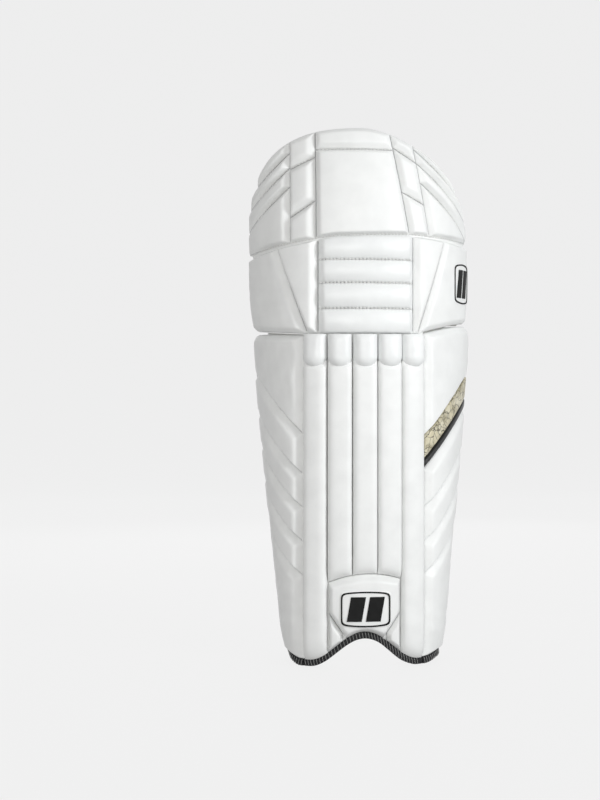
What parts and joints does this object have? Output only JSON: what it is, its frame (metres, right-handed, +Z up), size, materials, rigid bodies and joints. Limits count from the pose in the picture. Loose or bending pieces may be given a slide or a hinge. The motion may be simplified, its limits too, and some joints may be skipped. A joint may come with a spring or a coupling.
{
  "type": "cricket leg pad",
  "caption": "Cricket batting leg pad with cane channels, knee rolls, a curved thigh section, side wings, inner bolsters and three hook-and-loop straps.",
  "frame": {"origin": "on the floor, under the middle of the whole pad's box as it stands upright with its straps closed", "axes": "+Z up, the padded front faces -Y, +X is to the right of someone facing the front"},
  "size_m": [0.3082, 0.1866, 0.7027],
  "materials": {
    "white_leather": "smooth white coated leather, stitched, soft sheen",
    "foam_board": "dense laminated foam",
    "cane": "round cane rod",
    "gold_foil": "crackled metallic gold foil",
    "black_vinyl": "satin black vinyl",
    "whipped_binding": "black woven tape, whip stitched in white",
    "hook_tape": "dark grey hook tape",
    "loop_tape": "black brushed loop tape",
    "striped_webbing": "white woven webbing with a black and a gold stripe",
    "cushion_fabric": "fine white textured fabric over wadding",
    "mesh_lining": "white spacer mesh with a small lozenge weave",
    "gloss_lining": "glossy white lining",
    "badge": "white moulded patch with a black outline"
  },
  "bodies": {
    "shin": {"shin_board": "foam_board", "cane_channel_1": "white_leather", "cane_channel_2": "white_leather", "cane_channel_3": "white_leather", "cane_channel_4": "white_leather", "cane_channel_5": "white_leather", "cane_rods": "cane", "cane_caps": "white_leather", "instep_panel": "white_leather", "instep_wedges": "white_leather", "instep_badge": "badge", "bolster_left": "cushion_fabric", "bolster_right": "cushion_fabric", "shin_center_strip": "cushion_fabric", "shin_lining": "mesh_lining", "instep_binding": "whipped_binding"},
    "left_wing": {"wing_left_board": "foam_board", "wing_left_panels": "white_leather", "wing_left_fins": "white_leather", "wing_left_lining": "mesh_lining", "wing_left_edge_roll": "white_leather", "wing_left_binding": "whipped_binding", "loop_patches": "loop_tape"},
    "right_wing": {"wing_right_board": "foam_board", "wing_right_panels": "white_leather", "wing_right_fins": "white_leather", "gold_flash": "gold_foil", "black_flash": "black_vinyl", "wing_right_lining": "mesh_lining", "wing_right_edge_roll": "white_leather", "wing_right_binding": "whipped_binding", "strap_anchors": "loop_tape"},
    "knee": {"knee_board": "foam_board", "knee_roll_upper": "white_leather", "knee_roll_middle": "white_leather", "knee_roll_lower": "white_leather", "knee_band": "white_leather", "knee_flanks": "white_leather", "knee_wing_left": "white_leather", "knee_wing_right": "white_leather", "knee_side_badge": "badge", "knee_cushion": "cushion_fabric", "knee_strap_patches": "loop_tape"},
    "thigh": {"thigh_board": "foam_board", "thigh_center_panel": "white_leather", "thigh_top_bar": "white_leather", "thigh_left_column": "white_leather", "thigh_right_column": "white_leather", "thigh_side_ribs": "white_leather", "thigh_lining": "gloss_lining", "thigh_gold_panel": "gold_foil", "thigh_badge": "badge", "thigh_piping": "black_vinyl"},
    "knee_strap_body": {"knee_strap": "striped_webbing", "knee_strap_tab": "hook_tape"},
    "calf_strap_body": {"calf_strap": "striped_webbing", "calf_strap_tab": "hook_tape", "calf_strap_badge": "badge"},
    "ankle_strap_body": {"ankle_strap": "striped_webbing", "ankle_strap_tab": "hook_tape"}
  },
  "joints": [
    {"name": "left_wing_spread", "type": "hinge", "parent": "shin", "child": "left_wing", "pos_m": [-0.08163, -0.05927, 0], "axis": [0, 0, 1], "range_deg": [0, 12], "stiffness_Nm_per_rad": 2},
    {"name": "right_wing_spread", "type": "hinge", "parent": "shin", "child": "right_wing", "pos_m": [0.07563, -0.05927, 0], "axis": [0, 0, -1], "range_deg": [0, 12], "stiffness_Nm_per_rad": 2},
    {"name": "knee_flex", "type": "hinge", "parent": "shin", "child": "knee", "pos_m": [0, -0.08535, 0.431], "axis": [-1, 0, 0], "range_deg": [-5, 1.5], "stiffness_Nm_per_rad": 12},
    {"name": "thigh_flex", "type": "hinge", "parent": "knee", "child": "thigh", "pos_m": [0, -0.09135, 0.556], "axis": [-1, 0, 0], "range_deg": [-4, 2.5], "stiffness_Nm_per_rad": 8},
    {"name": "knee_strap_swing", "type": "hinge", "parent": "knee", "child": "knee_strap_body", "pos_m": [0.136, 0.02935, 0.463], "axis": [0, 0, -1], "range_deg": [0, 120]},
    {"name": "calf_strap_swing", "type": "hinge", "parent": "right_wing", "child": "calf_strap_body", "pos_m": [0.12882, 0.08075, 0.312], "axis": [0, 0, -1], "range_deg": [0, 120]},
    {"name": "ankle_strap_swing", "type": "hinge", "parent": "right_wing", "child": "ankle_strap_body", "pos_m": [0.10982, 0.06915, 0.15052], "axis": [0, -0.1453, -0.9894], "range_deg": [0, 120]}
  ]
}
